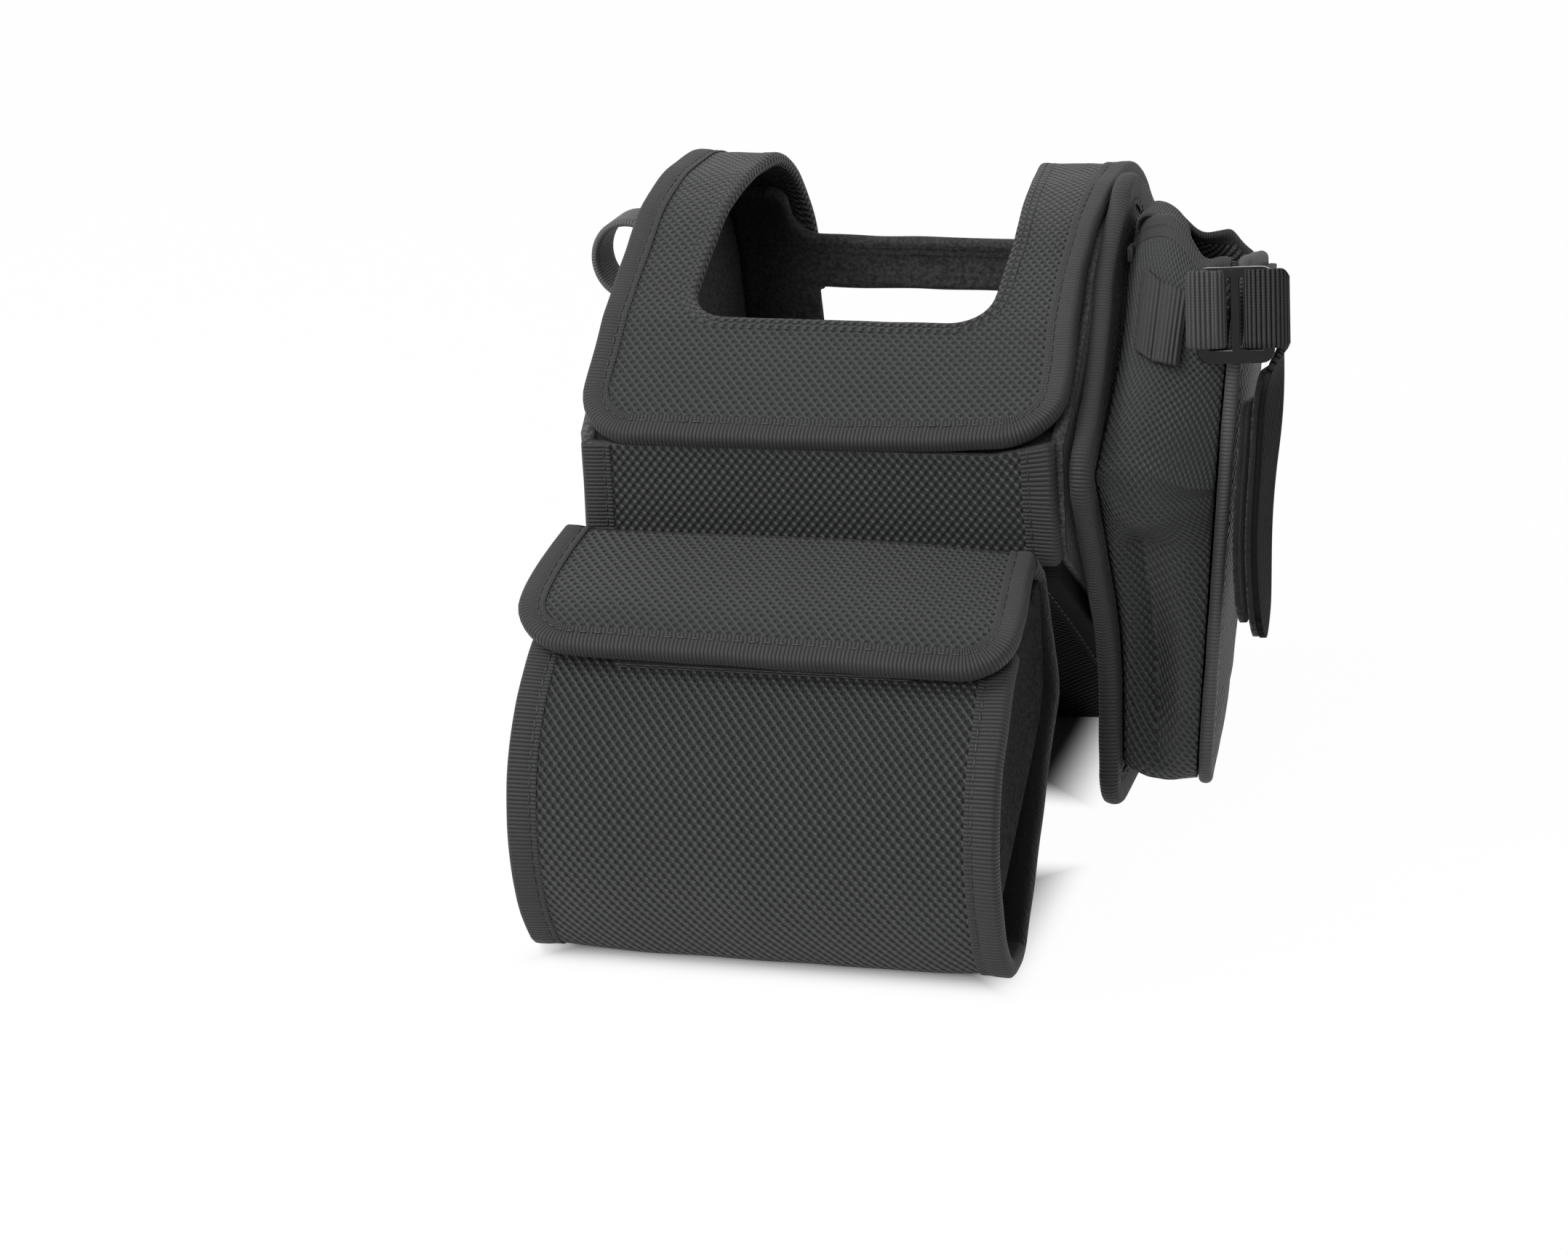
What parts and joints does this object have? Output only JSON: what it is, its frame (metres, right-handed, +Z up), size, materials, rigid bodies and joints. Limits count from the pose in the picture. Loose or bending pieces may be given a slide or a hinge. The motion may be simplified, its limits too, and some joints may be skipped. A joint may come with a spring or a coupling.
{
  "type": "soft instrument case",
  "caption": "Soft black case of bound panels with an arched top flap round a viewing cut-out, a bulging front pocket with its own flap, and a side pouch with a webbing strap and slide.",
  "frame": {"origin": "On the floor, in the middle of the flat heel under the back of the case, on its middle plane across.", "axes": "+X to the right seen from the front, +Y to the back, +Z up. The front pocket points to -Y and the side pouch is on +X."},
  "size_m": [0.1957, 0.2077, 0.1557],
  "materials": {
    "cloth": "coarse plain-weave black nylon, slight sheen on the yarns",
    "board": "thin stiffening sheet, hidden between the cloths",
    "lining": "smooth fine-weave dark lining",
    "tape": "ribbed black binding tape, stitched near its inner edge",
    "hook_and_loop": "matt black hook or loop pile",
    "webbing": "ribbed black webbing",
    "slide": "smooth moulded black plastic"
  },
  "bodies": {
    "case": {"body_wrap_cloth": "cloth", "body_wrap_board": "board", "body_wrap_lining": "lining", "body_wrap_tape_left": "tape", "body_wrap_tape_right": "tape", "front_facing": "lining", "front_loop_patch": "hook_and_loop", "left_wall_cloth": "cloth", "left_wall_board": "board", "left_wall_lining": "lining", "right_wall_cloth": "cloth", "right_wall_board": "board", "right_wall_lining": "lining", "rear_panel_cloth": "cloth", "rear_panel_board": "board", "rear_panel_lining": "lining", "front_pocket_cloth": "cloth", "front_pocket_board": "board", "front_pocket_lining": "lining", "front_pocket_tape_left": "tape", "front_pocket_tape_right": "tape", "front_pocket_gusset_left": "lining", "front_pocket_gusset_right": "lining", "front_pocket_loop_patch": "hook_and_loop", "pouch_back_cloth": "cloth", "pouch_back_board": "board", "pouch_back_lining": "lining", "pouch_back_tape": "tape", "pouch_gusset_front": "cloth", "pouch_gusset_rear": "cloth", "pouch_face": "cloth", "pouch_face_tape": "tape", "strap_anchor": "webbing", "strap_loop": "webbing", "strap_run": "webbing", "left_ring_keeper": "webbing", "right_ring_keeper": "webbing"},
    "top_flap": {"top_flap_cloth": "cloth", "top_flap_board": "board", "top_flap_lining": "lining", "top_flap_tape": "tape", "top_flap_hem": "tape", "top_flap_hook_patch": "hook_and_loop"},
    "pocket_flap": {"pocket_flap_cloth": "cloth", "pocket_flap_board": "board", "pocket_flap_lining": "lining", "pocket_flap_tape": "tape", "pocket_flap_hook_patch": "hook_and_loop"},
    "slide": {"strap_slide": "slide"},
    "tail": {"strap_tail": "webbing"},
    "left_ring": {"left_strap_ring": "webbing"},
    "right_ring": {"right_strap_ring": "webbing"}
  },
  "joints": [
    {"name": "top_flap_hinge", "type": "hinge", "parent": "case", "child": "top_flap", "pos_m": [0, 0.0176, 0.109], "axis": [-1, 0, 0], "range_deg": [0, 100]},
    {"name": "pocket_flap_hinge", "type": "hinge", "parent": "case", "child": "pocket_flap", "pos_m": [0, -0.13055, 0.09031], "axis": [-1, 0, 0], "range_deg": [0, 105]},
    {"name": "slide_tilt", "type": "hinge", "parent": "case", "child": "slide", "pos_m": [0.08917, -0.09505, 0.133], "axis": [0.0242, -0.1371, -0.9903], "range_deg": [0, 18]},
    {"name": "tail_swing", "type": "hinge", "parent": "slide", "child": "tail", "pos_m": [0.10394, -0.09245, 0.133], "axis": [0.0242, -0.1371, -0.9903], "range_deg": [-3, 12]},
    {"name": "left_ring_swing", "type": "hinge", "parent": "case", "child": "left_ring", "pos_m": [-0.0645, -0.02525, 0.129], "axis": [0, 1, 0], "range_deg": [-28, 28]},
    {"name": "right_ring_swing", "type": "hinge", "parent": "case", "child": "right_ring", "pos_m": [0.0689, -0.04025, 0.135], "axis": [0, 1, 0], "range_deg": [-3, 50]}
  ]
}
